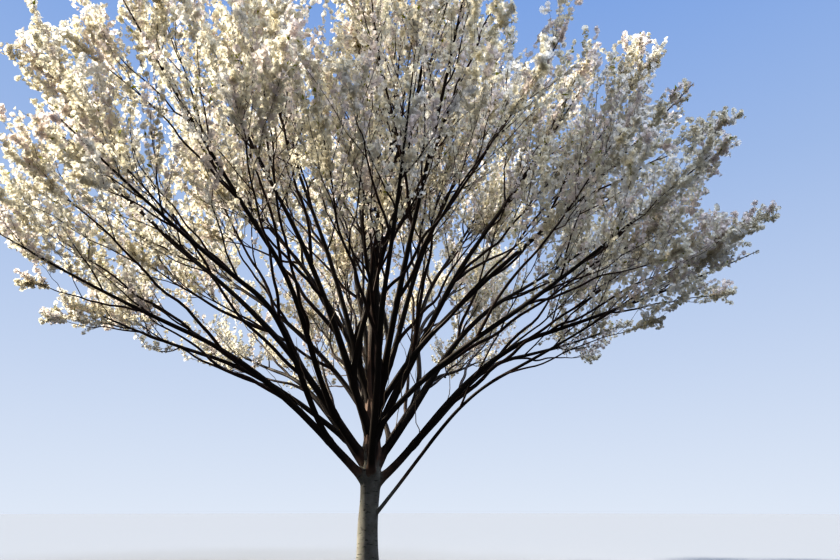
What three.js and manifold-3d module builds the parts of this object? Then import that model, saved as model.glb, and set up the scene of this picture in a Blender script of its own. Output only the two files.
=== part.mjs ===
// A white-flowering cherry tree with a vase-shaped crown, in millimetres, +Z up.
// The origin is the middle of the flat cut under the trunk, at ground level.
// Trunk and boughs are bent, tapered tubes. Each mass of blossom is a stem with twigs and plumes,
// fused into one solid that keeps to its own share of the crown.
import * as THREE from "three";
import { mergeVertices } from "three/addons/utils/BufferGeometryUtils.js";
import Module from "manifold-3d";

const wasm = await Module();
wasm.setup();

// Driving sizes
const TREE_HEIGHT = 11300;
const CROWN_RADIUS = 7650;
const CROWN_WIDEST_HEIGHT = 6450;
const CROWN_FULLNESS = 2.4; // 2 is an ellipse, more is squarer at the shoulders
const CROWN_RIM_HEIGHT = 3950; // lowest blossom, at the rim
const CROWN_HOLLOW_RADIUS = 5400; // the bare inside of the vase, at the height of the rim
const CROWN_HOLLOW_TOP = 7200; // its peak, on the trunk's line
const CLEAR = 0.3; // gap between neighbouring solids

// Trunk: height and radius, from the ground to the tip where the top mass begins
const TRUNK_OUTLINE = [
  [0, 198],
  [1300, 174],
  [1740, 188],
  [2600, 152],
  [4000, 118],
  [6900, 64],
];
const TRUNK_TIP_HEIGHT = TRUNK_OUTLINE.at(-1)[0];
const TRUNK_SIDES = 18;
const TRUNK_STEPS = 13;
const TRUNK_STEP_GROWTH = 1.7; // rings lie closer together near the ground
const TRUNK_LEAN = new THREE.Vector2(90, -60); // how far the tip stands out of plumb
const TRUNK_SWAY = 45;
const FLARE = 85;
const FLARE_HEIGHT = 170;
const FLARE_LOBES = 5;
const FLARE_LOBE_DEPTH = 0.45;

// Boughs come in pairs, a main bough and its fork, in rings up the trunk. A ring gives the height
// and steepness at which they leave, and their tip and the end of their mass, each as a distance
// from the trunk's line and a height. One slim bough with no fork leaves below all the others.
const RINGS = [
  {
    name: "low", pairs: 5, turn: 8, height: 1700, rise: 40, radius: 82,
    tip: [3600, 4350], reach: [7350, 5450],
  },
  {
    name: "middle", pairs: 4, turn: 40, height: 2050, rise: 52, radius: 88,
    tip: [3250, 5650], reach: [6800, 8000],
  },
  {
    name: "high", pairs: 3, turn: 15, height: 2500, rise: 62, radius: 84,
    tip: [2300, 6750], reach: [4950, 9800],
  },
  {
    name: "top", pairs: 2, turn: 60, height: 3150, rise: 70, radius: 68,
    tip: [1250, 7150], reach: [2850, 10650],
  },
  {
    name: "lowest", pairs: 1, turn: 61, height: 1100, rise: 40, radius: 34, unforked: true,
    tip: [2900, 3500], reach: [6100, 4750],
  },
];
const HEIGHT_STAGGER = 150; // boughs of one ring leave the trunk at different heights
const AIM_JITTER = 4; // degrees
const REACH_JITTER = 0.05;
const BOUGH_TIP_RADIUS = 38;
const BOUGH_TIP_SHARE = 0.8; // a slim bough's tip, beside its root
const BOUGH_SWAY = 75;
const BOUGH_HANDLE = 0.36; // share of the limb's length that its ends aim straight
const COLLAR_GROWTH = 0.35; // swelling where a limb leaves
const COLLAR_LENGTH = 0.035; // share of the limb's length
const FORK_PLACE = 0.24; // share of the main bough's length below its fork
const FORK_RADIUS_SHARE = 0.78;
const FORK_SPREAD = 0.6; // 0 leaves along its parent, 1 straight at its own tip
const BOUGH_SIDES = 6;
const BOUGH_STEPS = 5;

// Masses. Every length of a mass is scaled down with it where it has to be tried smaller.
const CREST_REACH = [200, 10950]; // the mass on the trunk's own tip ends here
const CREST_TURN = 100;
const SPACE_STEPS = 4; // straight pieces of a stem's line, by which the crown is shared out
const STEM_SIDES = 4;
const STEM_STEPS = 3;
const STEM_END_RADIUS = 7;
const STEM_BEND = 0.08; // how far the stem of a mass ends above its reach, as a share of its length
const FIRST_TWIG_PLACE = 0.1; // share of the stem's length
const LAST_TWIG_PLACE = 0.84;
const TWIG_COUNT = 6;
const TWIG_ANGLE = 50;
const TWIG_ANGLE_JITTER = 8;
const TWIG_LENGTH = 2500;
const TWIG_TIP_SHARE = 0.5; // length of the last twig beside that of the first
const TWIG_RADIUS = 19;
const TWIG_BARE = 150; // a twig's foot may lie this close to its own limb's tip
const PLUME_LENGTH = 1350;
const PLUME_WIDTH = 680;
const PLUME_THICKNESS = 400;
const PLUME_WIDEST = 0.55; // share of the plume's length
const PLUME_ANGLE = 44;
const PLUME_PLACES = [0.34, 0.6]; // along a twig, before the plume at its end
const END_PLUME_PLACE = 0.78; // where the plume at a twig's end has its root
const STEM_PLUME_PLACE = 0.9; // where the plume at a stem's end has its root
const GOLDEN_TURN = 137.5;
const SPACE_MARGIN = 12;
const SIMPLIFY = 5; // slivers smaller than this are closed up
const SHRINK_TRIES = [1, 0.82, 0.64, 0.5];
const SEED = 12;

const UP = new THREE.Vector3(0, 0, 1);
const rad = THREE.MathUtils.degToRad;

const trunkBark = new THREE.MeshStandardMaterial({ color: 0xb9b2a6, roughness: 0.85, metalness: 0 });
const boughBark = new THREE.MeshStandardMaterial({ color: 0x3b2a22, roughness: 0.8, metalness: 0 });
const blossom = new THREE.MeshStandardMaterial({ color: 0xece4d6, roughness: 0.9, metalness: 0 });

// A repeatable source of numbers from 0 to 1.
function seeded(seed) {
  let state = seed >>> 0;
  return () => {
    state = (state + 0x6d2b79f5) >>> 0;
    let mixed = state;
    mixed = Math.imul(mixed ^ (mixed >>> 15), mixed | 1);
    mixed ^= mixed + Math.imul(mixed ^ (mixed >>> 7), mixed | 61);
    return ((mixed ^ (mixed >>> 14)) >>> 0) / 4294967296;
  };
}

const jitter = (random, size) => (random() * 2 - 1) * size;

// A point at a distance from the trunk's line, in a compass direction, at a height.
const around = (distance, azimuth, height) =>
  new THREE.Vector3(distance * Math.cos(azimuth), distance * Math.sin(azimuth), height);

// A closed geometry as a manifold solid.
function solidOf(geometry) {
  const bare = geometry.clone();
  bare.deleteAttribute("normal");
  bare.deleteAttribute("uv");
  const merged = mergeVertices(bare, 1e-3);
  return new wasm.Manifold(
    new wasm.Mesh({
      numProp: 3,
      vertProperties: merged.attributes.position.array,
      triVerts: new Uint32Array(merged.index.array),
    }),
  );
}

// The largest piece of a solid: a cut can leave loose scraps.
function largestPiece(solid) {
  return solid.decompose().reduce((best, piece) => (piece.volume() > best.volume() ? piece : best));
}

function meshOf(name, solid, material) {
  const made = solid.getMesh();
  const geometry = new THREE.BufferGeometry();
  geometry.setAttribute("position", new THREE.BufferAttribute(new Float32Array(made.vertProperties), 3));
  geometry.setIndex(new THREE.BufferAttribute(new Uint32Array(made.triVerts), 1));
  const flat = geometry.toNonIndexed();
  flat.computeVertexNormals();
  const mesh = new THREE.Mesh(flat, material);
  mesh.name = name;
  return mesh;
}

// Trunk

function trunkRadius(height) {
  const above = TRUNK_OUTLINE.findIndex(([h]) => h >= height);
  if (above <= 0) return TRUNK_OUTLINE.at(above)[1];
  const [lowHeight, lowRadius] = TRUNK_OUTLINE[above - 1];
  const [highHeight, highRadius] = TRUNK_OUTLINE[above];
  return THREE.MathUtils.mapLinear(height, lowHeight, highHeight, lowRadius, highRadius);
}

// Where the trunk's line stands at a height: it leans a little and sways once.
function trunkPoint(height) {
  const share = height / TRUNK_TIP_HEIGHT;
  const sway = TRUNK_SWAY * Math.sin(2 * Math.PI * share) * share;
  return new THREE.Vector3(TRUNK_LEAN.x * share + sway, TRUNK_LEAN.y * share - sway, height);
}

function trunkSurface(height, angle, growth) {
  const lobes = 1 + FLARE_LOBE_DEPTH * Math.cos(FLARE_LOBES * angle);
  const radius = trunkRadius(height) + FLARE * lobes * Math.exp(-height / FLARE_HEIGHT) + growth;
  return trunkPoint(height).add(around(radius, angle, 0));
}

// Horizontal rings up the trunk, so that its foot is a flat cut.
function trunkSolid(growth = 0) {
  const geometry = new THREE.CylinderGeometry(1, 1, 1, TRUNK_SIDES, TRUNK_STEPS);
  const position = geometry.attributes.position;
  for (let i = 0; i < position.count; i++) {
    const share = position.getY(i) + 0.5;
    const height = TRUNK_TIP_HEIGHT * share ** TRUNK_STEP_GROWTH;
    const onRim = Math.hypot(position.getX(i), position.getZ(i)) > 0.5;
    const angle = Math.atan2(-position.getZ(i), position.getX(i));
    const point = onRim ? trunkSurface(height, angle, growth) : trunkPoint(height);
    position.setXYZ(i, point.x, point.y, point.z);
  }
  return solidOf(geometry);
}

// Limbs

// The line of a limb: a cubic curve from root to tip that sways a little sideways.
class LimbLine extends THREE.Curve {
  constructor({ root, rootAim, tip, tipAim, sway, phase }) {
    super();
    const handle = root.distanceTo(tip) * BOUGH_HANDLE;
    this.base = new THREE.CubicBezierCurve3(
      root,
      root.clone().addScaledVector(rootAim, handle),
      tip.clone().addScaledVector(tipAim, -handle),
      tip,
    );
    this.side = new THREE.Vector3().subVectors(tip, root).cross(UP).normalize();
    this.sway = sway;
    this.phase = phase;
  }

  getPoint(t, target = new THREE.Vector3()) {
    this.base.getPoint(t, target);
    const swing = this.sway * Math.sin(Math.PI * t) * Math.sin(2 * Math.PI * t + this.phase);
    return target.addScaledVector(this.side, swing);
  }
}

// A tapered tube along a line, its ends cut square.
function tubeSolid(line, radiusAt, sides, steps) {
  const geometry = new THREE.CylinderGeometry(1, 1, 1, sides, steps);
  const position = geometry.attributes.position;
  const frames = line.computeFrenetFrames(steps);
  const centres = line.getSpacedPoints(steps);
  for (let i = 0; i < position.count; i++) {
    const step = Math.round((position.getY(i) + 0.5) * steps);
    const radius = radiusAt(step / steps);
    const point = centres[step]
      .clone()
      .addScaledVector(frames.normals[step], position.getX(i) * radius)
      .addScaledVector(frames.binormals[step], -position.getZ(i) * radius);
    position.setXYZ(i, point.x, point.y, point.z);
  }
  return solidOf(geometry);
}

const limbRadius = (limb, t) =>
  limb.tipRadius +
  (limb.rootRadius - limb.tipRadius) * (1 - t) +
  limb.rootRadius * COLLAR_GROWTH * Math.exp(-t / COLLAR_LENGTH);

const limbSolid = (limb, growth = 0) =>
  tubeSolid(limb.line, (t) => limbRadius(limb, t) + growth, BOUGH_SIDES, BOUGH_STEPS);

// The rings of boughs as limbs: a line, its radii, what it grows from, and where its mass reaches.
function makeLimbs() {
  const random = seeded(SEED);
  const limbs = [];
  for (const ring of RINGS) {
    const pairTurn = 360 / ring.pairs;
    for (let pair = 0; pair < ring.pairs; pair++) {
      const stagger = ((pair * 2) % ring.pairs) / ring.pairs - 0.5;
      const rootHeight = ring.height + HEIGHT_STAGGER * 2 * stagger;
      const name = `bough_${ring.name}_${pair + 1}`;
      const main = makeLimb(ring, {
        name,
        azimuth: rad(ring.turn + pairTurn * (pair - 0.25) + jitter(random, AIM_JITTER)),
        root: trunkPoint(rootHeight),
        rootRadius: ring.radius,
        parent: null,
        random,
      });
      limbs.push(main);
      if (ring.unforked) continue;
      const fork = makeLimb(ring, {
        name: `${name}_fork`,
        azimuth: rad(ring.turn + pairTurn * (pair + 0.25) + jitter(random, AIM_JITTER)),
        root: main.line.getPointAt(FORK_PLACE),
        rootRadius: limbRadius(main, FORK_PLACE) * FORK_RADIUS_SHARE,
        parent: main,
        random,
      });
      limbs.push(fork);
    }
  }
  return limbs;
}

function makeLimb(ring, { name, azimuth, root, rootRadius, parent, random }) {
  const stretch = 1 + jitter(random, REACH_JITTER);
  const tip = around(ring.tip[0] * stretch, azimuth, ring.tip[1] * (1 + jitter(random, REACH_JITTER)));
  const reach = around(ring.reach[0] * (1 + jitter(random, REACH_JITTER / 2)), azimuth, ring.reach[1]);
  const rise = rad(ring.rise + jitter(random, AIM_JITTER));
  const outward = new THREE.Vector3().subVectors(tip, root).setZ(0).normalize();
  const rootAim = parent
    ? parent.line.getTangentAt(FORK_PLACE).lerp(tip.clone().sub(root).normalize(), FORK_SPREAD)
    : outward.multiplyScalar(Math.cos(rise)).addScaledVector(UP, Math.sin(rise));
  const line = new LimbLine({
    root,
    rootAim: rootAim.normalize(),
    tip,
    tipAim: new THREE.Vector3().subVectors(reach, tip).normalize(),
    sway: jitter(random, BOUGH_SWAY),
    phase: random() * Math.PI,
  });
  const tipRadius = Math.min(BOUGH_TIP_RADIUS, BOUGH_TIP_SHARE * rootRadius);
  return { name, line, rootRadius, tipRadius, parent, reach };
}

// Spaces

// Inside the dome of the crown, and above its rim and its bare inside.
function insideCrown(point) {
  const distance = Math.hypot(point.x, point.y);
  const hollow = Math.max(0, 1 - distance / CROWN_HOLLOW_RADIUS) * (CROWN_HOLLOW_TOP - CROWN_RIM_HEIGHT);
  if (point.z < CROWN_RIM_HEIGHT + hollow) return false;
  const up = (point.z - CROWN_WIDEST_HEIGHT) / (TREE_HEIGHT - CROWN_WIDEST_HEIGHT);
  const down = (CROWN_WIDEST_HEIGHT - point.z) / CROWN_WIDEST_HEIGHT;
  return (distance / CROWN_RADIUS) ** CROWN_FULLNESS + (up > 0 ? up : down) ** CROWN_FULLNESS < 1;
}

// The gap between two straight pieces, from the nearest points on them.
function gapBetween(a, b, c, d) {
  const ab = b.clone().sub(a);
  const cd = d.clone().sub(c);
  const ac = c.clone().sub(a);
  const abab = ab.dot(ab);
  const cdcd = cd.dot(cd);
  const abcd = ab.dot(cd);
  const away = abab * cdcd - abcd * abcd;
  const clamp = THREE.MathUtils.clamp;
  let s = away > 1e-6 ? clamp((ab.dot(ac) * cdcd - cd.dot(ac) * abcd) / away, 0, 1) : 0;
  const t = clamp((abcd * s - cd.dot(ac)) / cdcd, 0, 1);
  s = clamp((abcd * t + ab.dot(ac)) / abab, 0, 1);
  return a.clone().addScaledVector(ab, s).distanceTo(c.clone().addScaledVector(cd, t));
}

// Straight pieces that stand for a limb when something has to keep clear of it.
function piecesOf(points, radiusAt) {
  const steps = points.length - 1;
  return points.slice(1).map((end, i) => ({ from: points[i], to: end, radius: radiusAt(i / steps) }));
}

// The distance from a point to the nearest place on a line of points.
function distanceTo(points, point) {
  let nearest = Infinity;
  const segment = new THREE.Line3();
  const foot = new THREE.Vector3();
  for (let i = 1; i < points.length; i++) {
    segment.set(points[i - 1], points[i]).closestPointToPoint(point, true, foot);
    nearest = Math.min(nearest, foot.distanceTo(point));
  }
  return nearest;
}

// Masses

// The stem of a mass goes on from its limb's tip to the outline of the crown, bowing upwards.
function stemLine(tip, tipAim, reach) {
  const length = tip.distanceTo(reach);
  const start = tip.clone().addScaledVector(tipAim, CLEAR);
  return new THREE.QuadraticBezierCurve3(
    start,
    start.clone().addScaledVector(tipAim, length / 2),
    reach.clone().addScaledVector(UP, length * STEM_BEND),
  );
}

// A direction that leaves an aim at an angle, turned about it.
function branchAim(aim, angle, turn) {
  const side = Math.abs(aim.z) > 0.99 ? new THREE.Vector3(1, 0, 0) : UP.clone();
  const across = side.cross(aim).normalize().applyAxisAngle(aim, turn);
  return aim.clone().multiplyScalar(Math.cos(angle)).addScaledVector(across, Math.sin(angle));
}

// A three-sided twig, pointed at its far end, that starts inside what it grows from.
function twigSolid(from, aim, length, radius) {
  const geometry = new THREE.ConeGeometry(radius, length, 3).translate(0, length / 2, 0);
  geometry.applyQuaternion(new THREE.Quaternion().setFromUnitVectors(new THREE.Vector3(0, 1, 0), aim));
  geometry.translate(from.x, from.y, from.z);
  return solidOf(geometry);
}

// A plume of blossom: a long blade with eight faces, thickest past its middle.
function plumeSolid(corners) {
  const geometry = new THREE.OctahedronGeometry(1);
  const position = geometry.attributes.position;
  for (let i = 0; i < position.count; i++) {
    const axis = ["X", "Y", "Z"].findIndex((name) => Math.abs(position[`get${name}`](i)) > 0.5);
    const sign = position[`get${"XYZ"[axis]}`](i) > 0 ? 0 : 1;
    const point = corners[axis * 2 + sign];
    position.setXYZ(i, point.x, point.y, point.z);
  }
  return solidOf(geometry);
}

// Far and near end, then the two sides, then the two faces, as OctahedronGeometry's axes go.
function plumeCorners(root, aim, size, roll) {
  const wide = branchAim(aim, Math.PI / 2, roll);
  const thick = new THREE.Vector3().crossVectors(aim, wide);
  const middle = root.clone().addScaledVector(aim, PLUME_LENGTH * size * PLUME_WIDEST);
  const offset = (way, distance) => middle.clone().addScaledVector(way, distance * size);
  return [
    offset(aim, PLUME_LENGTH * (1 - PLUME_WIDEST)),
    offset(aim, -PLUME_LENGTH * PLUME_WIDEST),
    offset(wide, PLUME_WIDTH / 2),
    offset(wide, -PLUME_WIDTH / 2),
    offset(thick, PLUME_THICKNESS / 2),
    offset(thick, -PLUME_THICKNESS / 2),
  ];
}

// One mass: its stem, twigs round it by the golden turn, and plumes on them.
// What would leave the mass's own space or touch a limb is tried smaller, then skipped.
function growMass(own, stems, limbPieces, random) {
  const inOwnSpace = (point, margin) => {
    if (!insideCrown(point)) return false;
    const ownDistance = distanceTo(own.points, point);
    const others = stems.filter((stem) => stem !== own);
    return others.every((other) => distanceTo(other.points, point) > ownDistance + 2 * margin);
  };
  const clearOfLimbs = (from, to, radius) =>
    limbPieces.every((piece) => gapBetween(from, to, piece.from, piece.to) > piece.radius + radius + CLEAR);

  const stemRadius = (t) => THREE.MathUtils.lerp(own.rootRadius, STEM_END_RADIUS, t);
  const solids = [tubeSolid(own.line, stemRadius, STEM_SIDES, STEM_STEPS)];
  const plumeThatFits = (root, aim, roll) =>
    SHRINK_TRIES.map((size) => ({ size, corners: plumeCorners(root, aim, size, roll) })).find(
      ({ size, corners }) =>
        corners.every((corner) => inOwnSpace(corner, SPACE_MARGIN)) &&
        clearOfLimbs(corners[0], corners[1], (PLUME_WIDTH / 2) * size),
    );
  const addPlume = (plume) => {
    if (plume) solids.push(plumeSolid(plume.corners));
  };

  const tipAim = own.line.getTangent(1);
  addPlume(plumeThatFits(own.line.getPoint(STEM_PLUME_PLACE), tipAim, random() * Math.PI));
  for (let i = 0; i < TWIG_COUNT; i++) {
    const share = i / (TWIG_COUNT - 1);
    const place = THREE.MathUtils.lerp(FIRST_TWIG_PLACE, LAST_TWIG_PLACE, share);
    const root = own.line.getPointAt(place);
    const aim = branchAim(
      own.line.getTangentAt(place),
      rad(TWIG_ANGLE + jitter(random, TWIG_ANGLE_JITTER)),
      rad(GOLDEN_TURN * i) + own.phase,
    );
    const fullLength = TWIG_LENGTH * (1 - (1 - TWIG_TIP_SHARE) * share);
    const roll = random() * Math.PI;
    // The longest twig that fits with the plume at its end.
    const grown = SHRINK_TRIES.map((size) => {
      const length = size * fullLength;
      const end = root.clone().addScaledVector(aim, length);
      const middle = root.clone().lerp(end, 0.5);
      if (![middle, end].every((point) => inOwnSpace(point, SPACE_MARGIN + TWIG_RADIUS))) return null;
      if (!clearOfLimbs(root.clone().addScaledVector(aim, TWIG_BARE), end, TWIG_RADIUS)) return null;
      const last = plumeThatFits(root.clone().addScaledVector(aim, length * END_PLUME_PLACE), aim, roll);
      return last && { length, last };
    }).find(Boolean);
    if (!grown) continue;
    solids.push(twigSolid(root, aim, grown.length, TWIG_RADIUS));
    addPlume(grown.last);
    PLUME_PLACES.forEach((along, j) => {
      const plumeRoot = root.clone().addScaledVector(aim, grown.length * along);
      addPlume(plumeThatFits(plumeRoot, branchAim(aim, rad(PLUME_ANGLE), roll + j * Math.PI), roll + j));
    });
  }
  return largestPiece(wasm.Manifold.union(solids).simplify(SIMPLIFY));
}

// Assembly

const tree = new THREE.Group();
const limbs = makeLimbs();

tree.add(meshOf("trunk", trunkSolid(), trunkBark));
for (const limb of limbs) {
  const grownFrom = limb.parent ? limbSolid(limb.parent, CLEAR) : trunkSolid(CLEAR);
  tree.add(meshOf(limb.name, largestPiece(limbSolid(limb).subtract(grownFrom)), boughBark));
}

// The trunk's own tip carries the crest, as each limb's tip carries its own mass.
const crest = {
  name: "blossom_crest",
  line: stemLine(trunkPoint(TRUNK_TIP_HEIGHT), UP, around(CREST_REACH[0], rad(CREST_TURN), CREST_REACH[1])),
  rootRadius: trunkRadius(TRUNK_TIP_HEIGHT),
};
const limbStems = limbs.map((limb) => ({
  name: limb.name.replace("bough", "blossom"),
  line: stemLine(limb.line.getPointAt(1), limb.line.getTangentAt(1), limb.reach),
  rootRadius: limb.tipRadius,
}));
const stems = [crest, ...limbStems].map((stem, i) => ({
  ...stem,
  points: stem.line.getPoints(SPACE_STEPS),
  phase: i,
}));

const trunkShares = Array.from({ length: TRUNK_STEPS + 1 }, (_, i) => i / TRUNK_STEPS);
const trunkPoints = trunkShares.map((share) => trunkPoint(TRUNK_TIP_HEIGHT * share));
const limbPieces = [
  ...piecesOf(trunkPoints, (share) => trunkRadius(TRUNK_TIP_HEIGHT * share)),
  ...limbs.flatMap((limb) => piecesOf(limb.line.getSpacedPoints(BOUGH_STEPS), (t) => limbRadius(limb, t))),
];

const massRandom = seeded(SEED + 1);
for (const own of stems) {
  tree.add(meshOf(own.name, growMass(own, stems, limbPieces, massRandom), blossom));
}

export default tree;
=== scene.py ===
import math

import bpy
import numpy as np
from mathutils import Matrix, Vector


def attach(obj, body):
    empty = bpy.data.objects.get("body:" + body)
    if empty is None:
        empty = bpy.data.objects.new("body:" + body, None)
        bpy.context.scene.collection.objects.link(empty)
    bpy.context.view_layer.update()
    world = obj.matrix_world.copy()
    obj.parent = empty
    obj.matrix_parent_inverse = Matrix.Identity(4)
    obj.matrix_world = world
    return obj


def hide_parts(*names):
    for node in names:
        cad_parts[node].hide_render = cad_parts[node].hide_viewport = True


# A flowering cherry tree in metres, +Z up, the origin in the middle of the flat cut under its trunk.
# Trunk, boughs, forks and the stems of the masses of blossom follow the same rule as the solids. Side
# limbs, branches, twigs and spurs grow on from them, and flowers and young leaves stand on those.

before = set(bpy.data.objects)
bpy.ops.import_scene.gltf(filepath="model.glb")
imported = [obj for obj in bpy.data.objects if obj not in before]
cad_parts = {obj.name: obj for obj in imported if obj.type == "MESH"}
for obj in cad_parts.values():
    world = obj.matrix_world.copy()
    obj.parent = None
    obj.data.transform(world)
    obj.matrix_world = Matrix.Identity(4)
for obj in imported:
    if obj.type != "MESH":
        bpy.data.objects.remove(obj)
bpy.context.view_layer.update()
upward = np.array([0.0, 0.0, 1.0])
fullTurn = 2 * np.pi
goldenTurn = math.radians(137.5)


# Small tools

def unit(vectors):
    # Each vector divided by its own length.
    return vectors / np.maximum(np.linalg.norm(vectors, axis=-1, keepdims=True), 1e-12)


def around(distance, azimuth, height):
    # A point at a distance from the trunk's line, in a compass direction, at a height.
    return np.array([distance * math.cos(azimuth), distance * math.sin(azimuth), height])


def anglesRound(count):
    # Even angles round a full turn.
    return np.arange(count) * fullTurn / count


def sineSum(terms, first, second):
    # Sines added up, each with a rate along either of two measures, and a start.
    return sum(np.sin(a * first + b * second + start) for a, b, start in terms)


def runAlong(lines):
    # The length of each line up to each of its points.
    spans = np.linalg.norm(np.diff(lines, axis=-2), axis=-1)
    return np.concatenate([np.zeros_like(spans[..., :1]), np.cumsum(spans, axis=-1)], axis=-1)


def readAt(run, line, wanted):
    # The points of a line at some lengths along it, between its own points.
    return np.stack([np.interp(wanted, run, line[:, axis]) for axis in range(3)], axis=1)


def evenly(line, count):
    # The line's points moved to equal distances along it.
    run = runAlong(line)
    return readAt(run, line, np.linspace(0.0, run[-1], count))


def seededDraws(seed):
    # Numbers from 0 to 1 by 32-bit mixing, the same ones that place the solids.
    mask = 0xFFFFFFFF
    state = seed

    def draw():
        nonlocal state
        state = (state + 0x6D2B79F5) & mask
        mixed = ((state ^ (state >> 15)) * (state | 1)) & mask
        mixed ^= (mixed + (mixed ^ (mixed >> 7)) * (mixed | 61)) & mask
        return (mixed ^ (mixed >> 14)) / (mask + 1)

    return draw


def jitter(draw, size):
    # A drawn number between -size and size.
    return (draw() * 2 - 1) * size


# Shape of the tree

crown = dict(
    height=11.3, radius=7.65, widestHeight=6.45, fullness=2.4,  # 2 is an ellipse, more is squarer
    rimHeight=3.95, hollowRadius=5.4, hollowTop=7.2,  # the bare inside of the vase
    raggedness=0.08,  # how far the outline is drawn in between its plumes
    waves=[(9, 2.1, 0), (14, -3.3, 1), (0, 5.7, 2)],  # waves round it, radians to a metre up it, start
)

trunk = dict(
    outline=[(0, 0.198), (1.3, 0.174), (1.74, 0.188), (2.6, 0.152), (4.0, 0.118), (6.9, 0.064)],
    lean=(0.090, -0.060), sway=0.045,
    flare=0.085, flareHeight=0.170, lobes=5, lobeDepth=0.45,
)
trunk["top"] = trunk["outline"][-1][0]

boughs = dict(
    rings=[  # tip and reach are each a distance from the trunk and a height
        dict(pairs=5, turn=8, height=1.70, rise=40, radius=0.082, tip=(3.60, 4.35), reach=(7.35, 5.45)),
        dict(pairs=4, turn=40, height=2.05, rise=52, radius=0.088, tip=(3.25, 5.65), reach=(6.80, 8.00)),
        dict(pairs=3, turn=15, height=2.50, rise=62, radius=0.084, tip=(2.30, 6.75), reach=(4.95, 9.80)),
        dict(pairs=2, turn=60, height=3.15, rise=70, radius=0.068, tip=(1.25, 7.15), reach=(2.85, 10.65)),
        dict(pairs=1, turn=61, height=1.10, rise=40, radius=0.034, tip=(2.90, 3.50), reach=(6.10, 4.75)),
    ],  # the last is the slim lowest bough, which has no fork
    stagger=0.150, aimJitter=4, reachJitter=0.05, tipRadius=0.038, tipShare=0.8, sway=0.075, handle=0.36,
    collarGrowth=0.35, collarLength=0.035,
    offMiddle=0.25,  # a bough and its fork aim this share of a sector to either side of its middle
    forkPlace=0.24, forkRadiusShare=0.78, forkSpread=0.6, seed=12,
)

stems = dict(endRadius=0.005, taper=0.9, bend=0.08, crestReach=(0.200, 10.950), crestTurn=100, crestSunk=0.05)


def trunkPoint(height):
    # The trunk's line leans in proportion to height and sways once on its way up.
    share = np.asarray(height) / trunk["top"]
    sway = trunk["sway"] * np.sin(fullTurn * share) * share
    x = trunk["lean"][0] * share + sway
    y = trunk["lean"][1] * share - sway
    return np.stack([x, y, share * trunk["top"]], axis=-1)


def trunkRadius(height):
    # Straight between the heights of the outline.
    heights, radii = zip(*trunk["outline"])
    return np.interp(height, heights, radii)


def limbLine(root, rootAim, tip, tipAim, sway, phase, count=240):
    # A cubic curve whose two handles lie along the aims, plus a sideways swing that dies at both ends.
    handle = np.linalg.norm(tip - root) * boughs["handle"]
    t = np.linspace(0.0, 1.0, count)[:, None]
    a, b, c, d = root, root + rootAim * handle, tip - tipAim * handle, tip
    line = (1 - t) ** 3 * a + 3 * (1 - t) ** 2 * t * b + 3 * (1 - t) * t ** 2 * c + t ** 3 * d
    side = unit(np.cross(tip - root, upward))
    swing = sway * np.sin(np.pi * t) * np.sin(fullTurn * t + phase)
    return evenly(line + swing * side, count)


def limbRadius(rootRadius, share, collar=True):
    # Straight taper to the tip, and a collar that swells the foot and fades within a short stretch.
    tipRadius = min(boughs["tipRadius"], boughs["tipShare"] * rootRadius)
    taper = tipRadius + (rootRadius - tipRadius) * (1 - share)
    return taper + collar * rootRadius * boughs["collarGrowth"] * np.exp(-share / boughs["collarLength"])


def forkIndex(line):
    # The point of a bough's line where its fork leaves.
    return round(boughs["forkPlace"] * (len(line) - 1))


def makeLimb(ring, azimuth, root, rootRadius, parentLine, draw):
    # One bough: its tip and reach lie in its own compass direction, each a little off the ring's.
    out = ring["tip"][0] * (1 + jitter(draw, boughs["reachJitter"]))
    tip = around(out, azimuth, ring["tip"][1] * (1 + jitter(draw, boughs["reachJitter"])))
    far = ring["reach"][0] * (1 + jitter(draw, boughs["reachJitter"] / 2))
    reach = around(far, azimuth, ring["reach"][1])
    steep = math.radians(ring["rise"] + jitter(draw, boughs["aimJitter"]))
    if parentLine is None:
        level = unit((tip - root) * [1, 1, 0])
        rootAim = level * math.cos(steep) + upward * math.sin(steep)
    else:
        at = forkIndex(parentLine)
        onward = unit(parentLine[at + 1] - parentLine[at - 1])
        rootAim = onward + (unit(tip - root) - onward) * boughs["forkSpread"]
    sway, phase = jitter(draw, boughs["sway"]), draw() * math.pi
    line = limbLine(root, unit(rootAim), tip, unit(reach - tip), sway, phase)
    return dict(line=line, rootRadius=rootRadius, reach=reach, onTrunk=parentLine is None)


def makeLimbs():
    # A main bough and its fork for each pair of each ring, in the order of the solids.
    draw = seededDraws(boughs["seed"])
    made = []
    for ring in boughs["rings"]:
        pairs = ring["pairs"]
        pairTurn = 360 / pairs
        for pair in range(pairs):
            stagger = (pair * 2 % pairs) / pairs - 0.5
            aim = ring["turn"] + pairTurn * (pair - boughs["offMiddle"]) + jitter(draw, boughs["aimJitter"])
            foot = trunkPoint(ring["height"] + boughs["stagger"] * 2 * stagger)
            main = makeLimb(ring, math.radians(aim), foot, ring["radius"], None, draw)
            made.append(main)
            if pairs == 1:
                continue
            aim = ring["turn"] + pairTurn * (pair + boughs["offMiddle"]) + jitter(draw, boughs["aimJitter"])
            foot = main["line"][forkIndex(main["line"])]
            radius = limbRadius(ring["radius"], boughs["forkPlace"]) * boughs["forkRadiusShare"]
            made.append(makeLimb(ring, math.radians(aim), foot, radius, main["line"], draw))
    return made


def stemLine(tip, tipAim, reach, count=80):
    # A quadratic curve that goes straight on from the limb and then bows up to the edge of the mass.
    length = np.linalg.norm(reach - tip)
    t = np.linspace(0.0, 1.0, count)[:, None]
    control = tip + tipAim * length / 2
    end = reach + upward * length * stems["bend"]
    return evenly((1 - t) ** 2 * tip + 2 * (1 - t) * t * control + t ** 2 * end, count)


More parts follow.
